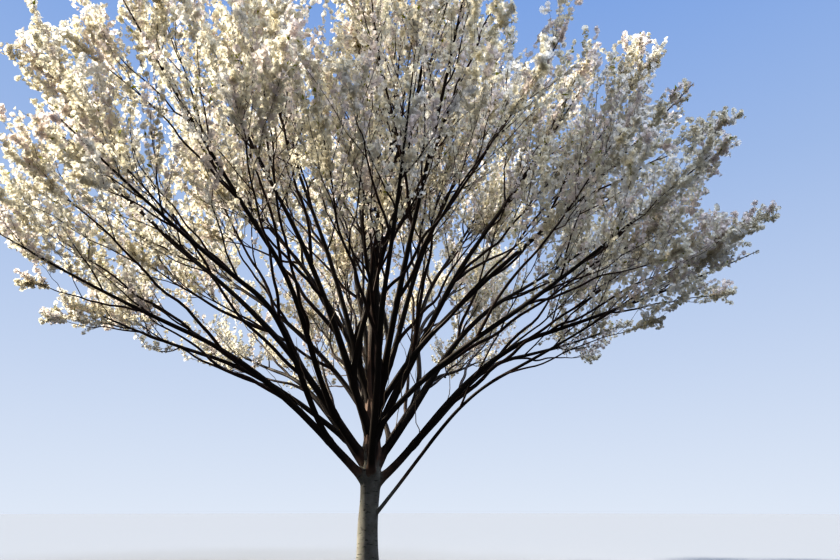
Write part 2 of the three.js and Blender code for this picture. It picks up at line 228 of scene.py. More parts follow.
def domeLevel(points):
    # A superellipse of distance and height: 0 in the middle of the crown, 1 on its outline.
    distance = np.hypot(points[..., 0], points[..., 1])
    above = (points[..., 2] - crown["widestHeight"]) / (crown["height"] - crown["widestHeight"])
    below = (crown["widestHeight"] - points[..., 2]) / crown["widestHeight"]
    level = np.where(above > 0, above, below)
    return (distance / crown["radius"]) ** crown["fullness"] + level ** crown["fullness"]


def insideCrown(points, share=1.0, bareToo=False):
    # Within a share of the dome, which is drawn in where the waves round and up it add up to less
    # than 1, and above the rim and the bare inside, unless limbs may pass through the bare inside.
    distance = np.hypot(points[..., 0], points[..., 1])
    azimuth = np.arctan2(points[..., 1], points[..., 0])
    height = points[..., 2]
    cone = np.clip(1 - distance / crown["hollowRadius"], 0, None)
    floor = crown["rimHeight"] + cone * (crown["hollowTop"] - crown["rimHeight"])
    waves = sineSum(crown["waves"], azimuth, height)
    limit = share + crown["raggedness"] * np.minimum(waves - 1, 0)
    return (bareToo | (height > floor)) & (domeLevel(points) < limit)


# Meshes

def newObject(name, data):
    # A new object in the scene.
    thing = bpy.data.objects.new(name, data)
    bpy.context.scene.collection.objects.link(thing)
    return thing


def makePiece(name, points, faceSets, material, slot=None, barkPlace=None):
    # Vertices and faces go in as whole arrays. A face set is an array with a row for each face.
    mesh = bpy.data.meshes.new(name)
    sizes = np.concatenate([np.full(len(faces), faces.shape[1]) for faces in faceSets])
    corners = np.concatenate([faces.ravel() for faces in faceSets])
    mesh.vertices.add(len(points))
    mesh.vertices.foreach_set("co", np.asarray(points, np.float32).ravel())
    mesh.loops.add(len(corners))
    mesh.loops.foreach_set("vertex_index", corners.astype(np.int32))
    mesh.polygons.add(len(sizes))
    mesh.polygons.foreach_set("loop_start", np.concatenate([[0], np.cumsum(sizes)[:-1]]).astype(np.int32))
    mesh.polygons.foreach_set("use_smooth", np.ones(len(sizes), bool))
    if barkPlace is not None:
        layer = mesh.attributes.new("barkPlace", "FLOAT_VECTOR", "POINT")
        layer.data.foreach_set("vector", np.asarray(barkPlace, np.float32).ravel())
    mesh.update(calc_edges=True)
    mesh.validate()
    mesh.materials.append(material)
    piece = newObject(name, mesh)
    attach(piece, "root")
    print(name, "triangles", int((sizes - 2).sum()))
    return piece


def joinParts(parts):
    # Several (points, face sets) pairs as one, with the face numbers moved on.
    points, faces, offset = [], {}, 0
    for partPoints, partFaces in parts:
        points.append(partPoints)
        for group in partFaces:
            faces.setdefault(group.shape[1], []).append(group + offset)
        offset += len(partPoints)
    return np.concatenate(points), [np.concatenate(groups) for groups in faces.values()]


def ringOffsets(radii, sides):
    # A ring's points as distances in two directions square to its line. The last axis goes round it.
    angle = anglesRound(sides)
    return radii * np.cos(angle), radii * np.sin(angle)


def tubeFaces(count, steps, sides):
    # Four-sided faces between the rings of each tube, and a face over either end.
    index = np.arange(count * steps * sides).reshape(count, steps, sides)
    onward = np.roll(index, -1, axis=2)
    quads = np.stack([index[:, :-1], onward[:, :-1], onward[:, 1:], index[:, 1:]], axis=-1)
    caps = np.concatenate([index[:, 0, ::-1], index[:, -1]])
    return [quads.reshape(-1, 4), caps]


def tubes(lines, radii, sides):
    # A ring of points round every step of every line, square to the line. The first ring's direction
    # is carried along and straightened at each step, so that the tube doesn't twist. It starts from
    # +Z, or from +X where the line itself is nearly upright.
    count, steps = lines.shape[:2]
    tangents = unit(np.gradient(lines, axis=1))
    normals = np.empty_like(lines)
    normal = np.where(np.abs(tangents[:, 0, 2:]) > 0.9, [[1.0, 0, 0]], [[0, 0, 1.0]])
    for step in range(steps):
        tangent = tangents[:, step]
        normal = unit(normal - tangent * (normal * tangent).sum(-1, keepdims=True))
        normals[:, step] = normal
    binormals = np.cross(tangents, normals)
    across, over = ringOffsets(radii.reshape(count, steps, -1), sides)
    rings = lines[:, :, None] + across[..., None] * normals[:, :, None]
    rings = rings + over[..., None] * binormals[:, :, None]
    return rings.reshape(-1, 3), tubeFaces(count, steps, sides)


def barkPlaces(radii, run, sides):
    # Each point as two distances across its limb and one along it.
    across, over = ringOffsets(radii, sides)
    return np.stack([across, over, np.broadcast_to(run, across.shape)], axis=-1).reshape(-1, 3)


def cones(roots, tips, radius):
    # Three-sided cones from a small triangle at each root to a point at each tip.
    line = unit(tips - roots)
    side = unit(np.cross(line, [0.3, 0.2, 0.93]))  # any direction that no line follows
    other = np.cross(line, side)
    angle = anglesRound(3)[:, None]
    ring = roots[:, None] + radius * (np.cos(angle) * side[:, None] + np.sin(angle) * other[:, None])
    points = np.concatenate([ring, tips[:, None]], axis=1)
    base = np.arange(len(roots))[:, None] * 4
    faces = np.concatenate([base + [0, 1, 3], base + [1, 2, 3], base + [2, 0, 3], base + [2, 1, 0]])
    return points.reshape(-1, 3), [faces]


# Materials

def hexColour(text):
    # sRGB hex to linear: the standard curve, with its straight foot.
    parts = [int(text[i:i + 2], 16) / 255 for i in (1, 3, 5)]
    linear = [c / 12.92 if c <= 0.04045 else ((c + 0.055) / 1.055) ** 2.4 for c in parts]
    return (*linear, 1.0)


def link(owner, source, node, socket):
    # Joins a (node, output name) pair to an input.
    owner.node_tree.links.new(source[0].outputs[source[1]], node.inputs[socket])


def addNode(owner, kind, inputs=None, stops=(), **settings):
    # Adds a node to a material or a world. An input is a value, or a (node, output name) pair to link
    # from. The stops of a colour ramp are (position, hex colour) pairs.
    node = owner.node_tree.nodes.new("ShaderNode" + kind)
    for key, value in settings.items():
        setattr(node, key, value)
    for key, value in (inputs or {}).items():
        if isinstance(value, tuple) and isinstance(value[0], bpy.types.Node):
            link(owner, value, node, key)
        else:
            node.inputs[key].default_value = value
    for number, (position, colour) in enumerate(stops):
        elements = node.color_ramp.elements
        element = elements[number] if number < len(elements) else elements.new(position)
        element.position = position
        element.color = hexColour(colour)
    return node


def newMaterial(name, roughness, specular):
    # A material with one principled shader, which is returned beside it.
    material = bpy.data.materials.new(name)
    material.use_nodes = True
    shader = material.node_tree.nodes["Principled BSDF"]
    shader.inputs["Roughness"].default_value = roughness
    shader.inputs["Specular IOR Level"].default_value = specular
    return material, shader


barkSkin = dict(
    pale="#98958C", grey="#76746C", seam="#292420", roughness=0.66, specular=0.35,
    roundScale=9.0, cloudScale=5.0, grainScale=120.0,  # a scale is the noise's features to a metre
    bandFrom=0.60, bandEdge=0.10,  # the noise level where a band starts, and how soft its edge is
    grainShare=0.35, bumpStrength=0.5, bumpDepth=0.003,  # the depth in metres
)
limbTones = dict(
    raggedScale=3.6, raggedRise=0.9,  # the noise that moves each turn of colour, and how far in metres
    # Across the sideways span the pale skin reaches higher towards -X, the sunny side: painted sunlight.
    footReach=(0.15, 0.40), paintedSunReach=(-0.16, 0.02),  # where paleFoot and paintedSunSide fade, in metres
    turns=[("#7A5F52", 0.86, 0.16), ("#2B1F19", 0.96, 0.50)],  # colour, its share, its fade in metres
)
# The bands are bandMm apart along the limb, and each turn of colour starts at a height in metres.
# On the trunk, the pale skin that reaches higher on its sunny side is painted sunlight.
trunkTones = dict(bandMm=30, turnsFrom=(2.30, 4.40), paleFoot=0.0, paintedSunSide=0.65)
boughTones = dict(bandMm=18, turnsFrom=(2.00, 2.10), paleFoot=0.35, paintedSunSide=0.0)
twigSkin = dict(roughness=0.55, specular=0.4, mottleScale=6.0, stops=[(0.3, "#2A1D18"), (0.7, "#49332B")])
# The fawn skin of the bare shoots is young bark, made paler still as painted sunlight.
sunPaintedShootSkin = dict(roughness=0.5, specular=0.4, mottleScale=9.0, stops=[(0.3, "#7D6C5C"), (0.7, "#A5947F")])


def ringedBark(name, bandMm):
    # Cherry bark: a thin skin stretched round the limb, so its pores run across it in short dark bands.
    # The bands come from noise on the limb's own round coordinates, squeezed along its length. The
    # real grain is finer, and is drawn as coarse as it needs to show.
    material, shader = newMaterial(name, barkSkin["roughness"], barkSkin["specular"])
    place = addNode(material, "Attribute", attribute_name="barkPlace")
    scale = (barkSkin["roundScale"], barkSkin["roundScale"], 1000 / bandMm)
    squeezed = addNode(material, "Mapping", {"Vector": (place, "Vector"), "Scale": scale})
    bands = addNode(material, "TexNoise", {
        "Vector": (squeezed, "Vector"), "Scale": 1.0, "Detail": 3.0, "Roughness": 0.55})
    clouds = addNode(material, "TexNoise", {
        "Vector": (place, "Vector"), "Scale": barkSkin["cloudScale"], "Detail": 5.0, "Roughness": 0.6})
    grain = addNode(material, "TexNoise", {
        "Vector": (place, "Vector"), "Scale": barkSkin["grainScale"], "Detail": 3.0})
    ground = addNode(material, "ValToRGB", {"Fac": (clouds, "Fac")},
                     stops=[(0.3, barkSkin["grey"]), (0.62, barkSkin["pale"])])
    bandMask = addNode(material, "MapRange", {
        "Value": (bands, "Fac"), "From Min": barkSkin["bandFrom"],
        "From Max": barkSkin["bandFrom"] + barkSkin["bandEdge"]})
    banded = addNode(material, "Mix", {
        "Factor": (bandMask, "Result"), "A": (ground, "Color"), "B": hexColour(barkSkin["seam"])},
        data_type="RGBA")
    grained = addNode(material, "Mix", {
        "Factor": barkSkin["grainShare"], "A": (banded, "Result"), "B": (grain, "Color")},
        data_type="RGBA", blend_type="OVERLAY")
    height = addNode(material, "Math", {0: (bandMask, "Result"), 1: (grain, "Fac")}, operation="ADD")
    bump = addNode(material, "Bump", {
        "Height": (height, "Value"), "Strength": barkSkin["bumpStrength"], "Distance": barkSkin["bumpDepth"]})
    link(material, (bump, "Normal"), shader, "Normal")
    return material, shader, grained


def limbBarkMaterial(name, tones):
    # Pale silver-grey skin on the clear stem, then ragged-edged reddish brown, and near black on the
    # limbs. Each turn is a height, pushed up and down by slow noise. It is higher close to the trunk's
    # line by paleFoot, and on the sunny side by paintedSunSide, which is painted sunlight: the pale skin
    # reaches higher where the sun falls on the trunk.
    material, shader, pale = ringedBark(name, tones["bandMm"])
    place = addNode(material, "TexCoord")
    axes = addNode(material, "SeparateXYZ", {"Vector": (place, "Object")})
    ragged = addNode(material, "TexNoise", {
        "Vector": (place, "Object"), "Scale": limbTones["raggedScale"], "Detail": 5.0})
    height = addNode(material, "Math", {
        0: (ragged, "Fac"), 1: limbTones["raggedRise"], 2: (axes, "Z")}, operation="MULTIPLY_ADD")
    level = addNode(material, "Mapping", {"Vector": (place, "Object"), "Scale": (1, 1, 0)})
    away = addNode(material, "VectorMath", {0: (level, "Vector")}, operation="LENGTH")
    for measure, reach, rise in (
        ((away, "Value"), limbTones["footReach"], tones["paleFoot"]),
        # painted sunlight: the pale skin reaches higher on the sunny side, towards -X
        ((axes, "X"), limbTones["paintedSunReach"], tones["paintedSunSide"]),
    ):
        lower = addNode(material, "MapRange", {
            "Value": measure, "From Min": reach[0], "From Max": reach[1], "To Min": -rise, "To Max": 0.0})
        height = addNode(material, "Math", {0: (height, "Value"), 1: (lower, "Result")}, operation="ADD")
    turned = pale
    for start, (colour, depth, fade) in zip(tones["turnsFrom"], limbTones["turns"]):
        solid = addNode(material, "Mix", {
            "Factor": depth, "A": (pale, "Result"), "B": hexColour(colour)}, data_type="RGBA")
        share = addNode(material, "MapRange", {
            "Value": (height, "Value"), "From Min": start, "From Max": start + fade})
        turned = addNode(material, "Mix", {
            "Factor": (share, "Result"), "A": (turned, "Result"), "B": (solid, "Result")}, data_type="RGBA")
    link(material, (turned, "Result"), shader, "Base Color")
    return material


def youngBarkMaterial(name, skin):
    # The bark of young wood: a thin skin, nearly smooth, with soft mottles of two close colours.
    material, shader = newMaterial(name, skin["roughness"], skin["specular"])
    place = addNode(material, "TexCoord")
    mottle = addNode(material, "TexNoise", {
        "Vector": (place, "Object"), "Scale": skin["mottleScale"], "Detail": 2.0})
    colour = addNode(material, "ValToRGB", {"Fac": (mottle, "Fac")}, stops=skin["stops"])
    link(material, (colour, "Color"), shader, "Base Color")
    return material


def thinSheetMaterial(name, colour, sheet):
    # Petals and leaves are so thin that some light that falls on one side leaves at the other.
    material, shader = newMaterial(name, sheet["roughness"], sheet["specular"])
    shader.inputs["Base Color"].default_value = hexColour(colour)
    lit = addNode(material, "BsdfTranslucent", {"Color": hexColour(colour)})
    both = addNode(material, "MixShader", {0: sheet["through"], 1: (shader, "BSDF"), 2: (lit, "BSDF")})
    link(material, (both, "Shader"), material.node_tree.nodes["Material Output"], "Surface")
    return material


# Joins between limbs

joins = dict(
    trunkBlend=0.13, boughBlend=0.12, byRadius=1.6,
    bottom=0.9, top=4.6, reach=2.2, limbRun=3.2, spacing=0.02,  # where limbs can meet, and the sampling
    batch=1500,  # points compared with all the samples at a time
)


def joinSamples(lines, radii):
    # Centres and radii at close steps along the trunk and the lower part of every limb.
    height = np.arange(joins["bottom"], joins["top"], joins["spacing"])
    centres, sizes, owners = [trunkPoint(height)], [trunkRadius(height)], [np.full(len(height), -1)]
    wanted = np.arange(0, joins["limbRun"], joins["spacing"])
    for number, (line, radius) in enumerate(zip(lines, radii)):
        run = runAlong(line)
        centres.append(readAt(run, line, wanted))
        sizes.append(np.interp(wanted, run, radius))
        owners.append(np.full(len(wanted), number))
    return np.concatenate(centres), np.concatenate(sizes), np.concatenate(owners)


def samplesOutside(samples, own, line, radii):
    # The samples of other limbs that lie further from this line than its own radius there.
    centres, sizes, owners = samples
    centres, sizes = centres[owners != own], sizes[owners != own]
    away = np.linalg.norm(centres[:, None] - line[None, ::2], axis=2) - radii[None, ::2]
    apart = away.min(axis=1) > 0
    return centres[apart], sizes[apart]


def swellAtJoins(points, outward, ownRadius, others, otherRadii, blend):
    # A smooth union: where another limb's surface is nearer than the blend distance, this surface
    # moves outward by (blend - gap)² / (4 blend). The distance is shorter round a thin limb, and deep
    # inside the other limb nothing is moved.
    flat, push = points.reshape(-1, 3), np.zeros(points.size // 3)
    thick = np.broadcast_to(ownRadius, points.shape[:-1]).ravel()
    near = np.flatnonzero((flat[:, 2] < joins["top"]) & (np.hypot(flat[:, 0], flat[:, 1]) < joins["reach"]))
    for some in np.array_split(near, max(1, len(near) // joins["batch"])):
        square = (flat[some] ** 2).sum(1)[:, None] + (others ** 2).sum(1) - 2 * flat[some] @ others.T
        gap = np.sqrt(np.clip(square, 0, None)) - otherRadii
        nearest = gap.argmin(axis=1)
        gap = gap[np.arange(len(some)), nearest]
        reach = np.minimum(blend, joins["byRadius"] * np.minimum(otherRadii[nearest], thick[some]))
        push[some] = np.clip(reach - np.abs(gap), 0, None) ** 2 / (4 * reach)
    return points + outward * push.reshape(points.shape[:-1])[..., None]


# Trunk

bark = dict(
    sides=112, lowRings=430, highRings=110, lowTop=2.2,  # rings lie closer together on the clear stem
    bandCount=90, bandHeight=0.006, bandRise=0.0022, bandTurn=(0.12, 0.5), bandsFrom=0.05, bandEnds=1.2,
    bumpRise=0.005, bumps=[(2, 1.7, 0), (3, -2.9, 1), (1, 5.3, 0)],  # as the crown's waves
    fluteRise=0.012, flutes=(9, 0.8, 0), fluteHeight=2.425, fluteSpread=0.8, seed=5,
)


def bandRidges(height, angle):
    # Narrow ridges part of the way round, each a bell curve in height that fades at its ends.
    rng = np.random.default_rng(bark["seed"])
    count = bark["bandCount"]
    bandAt = rng.uniform(bark["bandsFrom"], trunk["top"], count)
    bandTurn = rng.uniform(0, fullTurn, count)
    bandWidth = rng.uniform(*bark["bandTurn"], count)
    ridges = np.zeros(np.broadcast_shapes(height.shape, angle.shape))
    for place, turn, width in zip(bandAt, bandTurn, bandWidth):
        away = np.abs((angle - turn + np.pi) % fullTurn - np.pi)
        across = np.clip(bark["bandEnds"] * (1 - away / width), 0, 1)
        ridges = np.maximum(ridges, across * np.exp(-(((height - place) / bark["bandHeight"]) ** 2)))
    return ridges


def makeTrunk(lines, radii):
    # Rings up the trunk's line. Each radius is the outline plus flare lobes that die away upwards,
    # slow bumps, flutes where the boughs leave it, and the bark's ridges.
    low = np.linspace(0, bark["lowTop"], bark["lowRings"])
    high = np.linspace(bark["lowTop"], trunk["top"], bark["highRings"])[1:]
    height = np.concatenate([low, high])[:, None]
    sides = bark["sides"]
    angle = anglesRound(sides)[None]
    lobes = 1 + trunk["lobeDepth"] * np.cos(trunk["lobes"] * angle)
    radius = trunkRadius(height) + trunk["flare"] * lobes * np.exp(-height / trunk["flareHeight"])
    radius += bark["bumpRise"] * sineSum(bark["bumps"], angle, height)
    amongBoughs = np.exp(-(((height - bark["fluteHeight"]) / bark["fluteSpread"]) ** 2))
    radius += bark["fluteRise"] * amongBoughs * sineSum([bark["flutes"]], angle, height)
    radius += bark["bandRise"] * bandRidges(height, angle)
    centre = trunkPoint(height[:, 0])
    across, over = ringOffsets(radius, sides)
    rows = np.repeat(height, sides, axis=1)
    points = np.stack([centre[:, 0, None] + across, centre[:, 1, None] + over, rows], axis=-1)
    outward = np.stack([np.cos(angle), np.sin(angle), 0 * angle], axis=-1)
    others = samplesOutside(joinSamples(lines, radii), -1, centre, radius.mean(axis=1))
    points = swellAtJoins(points, outward, radius, *others, joins["trunkBlend"])
    material = limbBarkMaterial("cherry_bark_silvery_ringed", trunkTones)
    faces = tubeFaces(1, len(height), sides)
    places = barkPlaces(radius, height, sides)
    piece = makePiece("trunk_bark", points.reshape(-1, 3), faces, material, "trunk_bark", places)
    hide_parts("trunk")


# Boughs

boughBark = dict(
    sides=12, steps=110, rippleRise=0.035, seed=9,
    ripples=[(55, 0, 0.4), (23, 2, 1.0), (71, 3, 0.6)],  # radians along a limb, waves round it, share
)


def limbPaths():
    # Every bough with its stem as one line, and the crest on the trunk's own tip, with their radii.
    lines, radii = [], []
    for limb in makeLimbs():
        line = limb["line"]
        stem = stemLine(line[-1], unit(line[-1] - line[-2]), limb["reach"])
        lines.append(evenly(np.concatenate([line, stem[1:]]), boughBark["steps"]))
        boughRun, stemRun = runAlong(line)[-1], runAlong(stem)[-1]
        run = np.linspace(0, boughRun + stemRun, boughBark["steps"])
        onBough = limbRadius(limb["rootRadius"], run / boughRun, limb["onTrunk"])
        left = np.clip(1 - (run - boughRun) / stemRun, 0, 1) ** stems["taper"]
        onStem = stems["endRadius"] + (limbRadius(limb["rootRadius"], 1.0) - stems["endRadius"]) * left
        radii.append(np.where(run < boughRun, onBough, onStem))
    top = trunkPoint(trunk["top"] - stems["crestSunk"])
    reach = around(stems["crestReach"][0], math.radians(stems["crestTurn"]), stems["crestReach"][1])
    lines.append(evenly(stemLine(top, upward, reach), boughBark["steps"]))
    radii.append(np.linspace(trunkRadius(trunk["top"]), stems["endRadius"], boughBark["steps"]))
    return np.array(lines), np.array(radii)


def makeBoughs(lines, radii):
    # The radius ripples slowly along and round each limb, as bark over growing wood does.
    rng = np.random.default_rng(boughBark["seed"])
    sides = boughBark["sides"]
    run = np.linspace(0, 1, lines.shape[1])[None, :, None]
    angle = anglesRound(sides)[None, None]
    phases = rng.uniform(0, fullTurn, (len(boughBark["ripples"]), len(lines), 1, 1))
    ripple = sum(share * np.sin(lengthways * run + roundways * angle + phase)
                 for (lengthways, roundways, share), phase in zip(boughBark["ripples"], phases))
    relief = radii[..., None] * (1 + boughBark["rippleRise"] * ripple)
    points, faces = tubes(lines, relief, sides)
    samples = joinSamples(lines, radii)
    rings = points.reshape(len(lines), -1, sides, 3)
    for number, line in enumerate(lines):
        outward = unit(rings[number] - line[:, None])
        others = samplesOutside(samples, number, line, radii[number])
        thick = radii[number][:, None]
        rings[number] = swellAtJoins(rings[number], outward, thick, *others, joins["boughBlend"])
    material = limbBarkMaterial("cherry_bark_dark_fine_ringed", boughTones)
    places = barkPlaces(relief, runAlong(lines)[..., None], sides)
    piece = makePiece("bough_bark", points, faces, material, "bough_bark", places)
    nodes = sorted(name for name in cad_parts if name.startswith("bough_"))
    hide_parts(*nodes)


# Side limbs, branches, twigs and spurs: start and stop are shares of the line that carries them,
# angles are in degrees, lengths and radii in metres, and the rest are shares

anyShoot = dict(
    placeJitter=0.35, lengthRange=(0.8, 1.2), sizes=(1, 0.82, 0.64, 0.5), spread=0.0, wander=0.0,
    radiusShare=0.7,  # of the line that it grows on, but no more than its own radius
    flat=1.0,  # less than 1 turns shoots out of the upright and towards the level
    leastRise=-1, leastHeight=0, domeShare=1.0, throughBare=False, tipInCrown=False,
)
sideLimbs = dict(
    count=4, start=0.20, stop=0.66, angle=19, angleJitter=5, length=4.4, tipShare=0.66, lift=0.03,
    spread=0.05, upturn=0.05, wander=0.010, radius=0.050, tipRadiusShare=0.15, steps=12,
    throughBare=True, flat=0.55, leastHeight=2.4, tipInCrown=True,
)
fillLimbs = dict(  # they close the wedges between the upper limbs
    sideLimbs, count=2, start=0.36, stop=0.64, angle=36, length=2.9, flat=0.3, withinReach=5.3,
)
bareShoots = dict(
    count=1, start=0.06, stop=0.22, angle=24, angleJitter=12, length=1.35, tipShare=0.8, lift=0.10,
    spread=-0.05, upturn=0.6, wander=0.020, radius=0.010, radiusShare=0.4, tipRadiusShare=0.35, steps=9,
    throughBare=True,
)
branches = dict(
    count=8, start=0.54, stop=0.97, angle=30, angleJitter=9, length=2.0, tipShare=0.42, lift=0.16,
    spread=0.03, upturn=0.15, wander=0.018, radius=0.017, radiusShare=0.6, tipRadiusShare=0.25, steps=7,
    domeShare=0.84, leastRise=0.0, flat=0.8,
)
crestBranches = dict(  # and these the middle, where the inmost limbs are nearly upright
    branches, count=12, start=0.34, stop=0.97, angle=50, length=1.9, tipShare=0.55, withinReach=3.3,
)
twigs = dict(
    count=5, start=0.16, stop=1.0, angle=30, angleJitter=12, length=0.70, tipShare=0.75, lift=0.20,
    upturn=0.30, wander=0.025, radius=0.0055, tipRadiusShare=0.4, steps=3, domeShare=0.80,
)
wisps = dict(  # long plumes that stand out of the crown all round
    count=2, start=0.65, stop=1.0, angle=14, angleJitter=9, length=1.40, tipShare=0.9, lift=0.05,
    spread=0.16, upturn=0.12, wander=0.018, radius=0.006, tipRadiusShare=0.35, steps=5,
    sizes=(1, 0.8, 0.6),
    outerFrom=0.60, grown=0.45,  # beyond this level of the dome, this share of branches carry them
    bareShare=0.80,  # where the blossom starts on the end of a limb itself
)
plumeTwigs = dict(  # they widen a wisp, or the end of a limb, towards its foot
    count=5, start=0.08, stop=0.84, angle=32, angleJitter=10, length=0.46, tipShare=0.4, lift=0.12,
    upturn=0.12, wander=0.02, radius=0.0045, tipRadiusShare=0.4, steps=3, sizes=(1, 0.75, 0.5),
)
spurs = dict(
    count=3, start=0.12, stop=0.9, angle=48, angleJitter=16, length=0.14, tipShare=0.6, lift=0.1,
    upturn=0.1, radius=0.0028, radiusShare=0.8, tipRadiusShare=0.6, steps=2, sizes=(1,),
)
plumeSpurs = dict(spurs, count=7, start=0.10, stop=0.92, angle=52, length=0.15, tipShare=0.45)
growth = dict(seed=31, sideLimbSides=7, branchSides=5, twigSides=3)


def along(lines, radii, place):
    # Point, direction and radius on each line at shares of its length, between the two nearest steps.
    at = np.clip(place, 0, 0.9999) * (lines.shape[1] - 1)  # just short of the end, so that a step follows
    low = at.astype(int)
    part = (at - low)[..., None]
    row = np.arange(len(lines))[:, None]
    a, b = lines[row, low], lines[row, low + 1]
    thick = radii[row, low] * (1 - part[..., 0]) + radii[row, low + 1] * part[..., 0]
    return a + (b - a) * part, unit(b - a), thick


def growShoots(lines, radii, rule, rng):
    # Shoots leave a line round it by the golden turn, at the rule's angle, and shorten towards its tip.
    # Each bends up and out as the square of its length, and wanders by small steps that add up.
    # One that would leave the crown is tried shorter, then skipped.
    rule = {**anyShoot, **rule}
    count, steps = rule["count"], rule["steps"]
    share = np.linspace(0.0, 1.0, count) if count > 1 else np.array([0.5])
    stretch = rule["stop"] - rule["start"]
    offPlace = rng.uniform(-rule["placeJitter"], rule["placeJitter"], (len(lines), count)) * (stretch / count)
    place = rule["start"] + stretch * share + offPlace
    root, tangent, thick = along(lines, radii, place)
    turn = goldenTurn * np.arange(count) + rng.uniform(0, fullTurn, (len(lines), 1))
    angle = np.radians(rule["angle"] + rng.uniform(-1, 1, place.shape) * rule["angleJitter"])[..., None]
    side = unit(np.cross(upward, tangent))
    upDown = rule["flat"] * np.sin(turn)[..., None] * np.cross(tangent, side)
    across = unit(np.cos(turn)[..., None] * side + upDown)
    aim = unit(np.cos(angle) * tangent + np.sin(angle) * across + upward * rule["upturn"])
    shortened = rule["length"] * (1 - (1 - rule["tipShare"]) * share)
    length = shortened * rng.uniform(*rule["lengthRange"], place.shape)
    bend = upward * rule["lift"] + unit(root * [1, 1, 0]) * rule["spread"]
    t = np.linspace(0.0, 1.0, steps + 1)[:, None]
    path = aim[:, :, None] * t + bend[:, :, None] * t ** 2
    wander = np.cumsum(rng.normal(0, rule["wander"], path.shape) * (t > 0), axis=2)
    path = (path + wander) * length[..., None, None]
    risen = (aim[..., 2] > rule["leastRise"]) & (root[..., 2] > rule["leastHeight"])
    kept = np.zeros(place.shape, bool)
    size = np.ones(place.shape)
    for tried in rule["sizes"]:
        ends = root[:, :, None] + path[:, :, [steps // 2, steps]] * tried
        fits = insideCrown(ends, rule["domeShare"], rule["throughBare"]).all(axis=2) & risen
        if rule["tipInCrown"]:
            fits &= insideCrown(ends[:, :, 1])
        size = np.where(fits & ~kept, tried, size)
        kept |= fits
    grown = (root[:, :, None] + path * size[..., None, None])[kept]
    foot = np.minimum(thick[kept] * rule["radiusShare"], rule["radius"])
    taper = (1 - t[:, 0]) + rule["tipRadiusShare"] * t[:, 0]
    parent = np.repeat(np.arange(len(lines)), count).reshape(place.shape)[kept]
    return grown, foot[:, None] * taper, parent


def rounded(lines):
    # Each corner of a line is cut: every span gives way to its points at a quarter and three quarters.
    a, b = lines[:, :-1], lines[:, 1:]
    pairs = np.stack([0.75 * a + 0.25 * b, 0.25 * a + 0.75 * b], axis=2)
    inner = pairs.reshape(len(lines), -1, *lines.shape[2:])
    return np.concatenate([lines[:, :1], inner, lines[:, -1:]], axis=1)


def growOnInner(lines, radii, rule, rng):
    # Shoots only on limbs that end within the rule's distance of the trunk's line.
    inner = np.hypot(lines[:, -1, 0], lines[:, -1, 1]) < rule["withinReach"]
    return growShoots(lines[inner], radii[inner], rule, rng)


def limbEnds(lines, radii):
    # The last part of each limb as a line of its own, for the spurs and flowers on it.
    place = np.tile(np.linspace(wisps["bareShare"], 1.0, wisps["steps"] + 1), (len(lines), 1))
    points, _, thick = along(lines, radii, place)
    return points, thick


def joinLines(*sets):
    # Sets of lines and radii as one of each.
    return np.concatenate([some[0] for some in sets]), np.concatenate([some[1] for some in sets])


def makeCrown(limbs):
    # Side limbs grow on the boughs, branches on both, twigs on the branches, plumes on the outer
    # branches and at the ends of limbs, and spurs on twigs and plumes.
    rng = np.random.default_rng(growth["seed"])
    onBoughs = growShoots(*limbs, sideLimbs, rng)
    between = growOnInner(*limbs, fillLimbs, rng)
    sides = [rounded(values) for values in joinLines(onBoughs, between)]
    upper = [values[:-2] for values in limbs]  # without the slim lowest bough and the crest
    bare = growShoots(*upper, bareShoots, rng)
    onBoughs = growShoots(*limbs, branches, rng)
    onSides = growShoots(*sides, branches, rng)
    inMiddle = growOnInner(*limbs, crestBranches, rng)
    branchLines, branchRadii = joinLines(onBoughs, onSides, inMiddle)
    onBranches = growShoots(branchLines, branchRadii, twigs, rng)
    outer = domeLevel(branchLines[:, -1]) > wisps["outerFrom"]
    outer &= rng.uniform(size=len(outer)) < wisps["grown"]
    wispLines, wispRadii, _ = growShoots(branchLines[outer], branchRadii[outer], wisps, rng)
    plumes = joinLines((wispLines, wispRadii), limbEnds(*limbs), limbEnds(*sides))
    onPlumes = growShoots(*plumes, plumeTwigs, rng)
    twigLines, twigRadii = joinLines(onBranches, onPlumes)
    spurLines, _, spurTwig = growShoots(twigLines, twigRadii, spurs, rng)
    plumeSpurLines, _, spurPlume = growShoots(*plumes, plumeSpurs, rng)
    print("side limbs", len(sides[0]), "branches", len(branchLines), "twigs", len(twigLines))
    print("wisps", len(wispLines), "spurs", len(spurLines), "and", len(plumeSpurLines))
    twigBark = youngBarkMaterial("cherry_twig_redbrown_smooth", twigSkin)  # last years' shoots
    # the bare shoots' fawn skin: young bark, and paler still as painted sunlight
    sunPaintedShootBark = youngBarkMaterial("cherry_shoot_fawn_sun_painted", sunPaintedShootSkin)  # of one or two summers
    stout, fine = growth["branchSides"], growth["twigSides"]
    sideParts = [tubes(*sides, growth["sideLimbSides"]), tubes(branchLines, branchRadii, stout)]
    makePiece("side_limbs", *joinParts(sideParts), twigBark, "bough_bark")
    makePiece("bare_shoots", *tubes(*bare[:2], stout), sunPaintedShootBark, "bough_bark")
    twigParts = [tubes(twigLines, twigRadii, fine), tubes(wispLines, wispRadii, fine)]
    makePiece("twigs", *joinParts(twigParts), twigBark, "bough_bark")
    allSpurs = np.concatenate([spurLines, plumeSpurLines])
    makePiece("spurs", *cones(allSpurs[:, 0], allSpurs[:, -1], spurs["radius"]), twigBark, "bough_bark")
    makeBlossom(twigLines, branchLines, plumes[0], (spurLines, spurTwig), (plumeSpurLines, spurPlume))


# Blossom

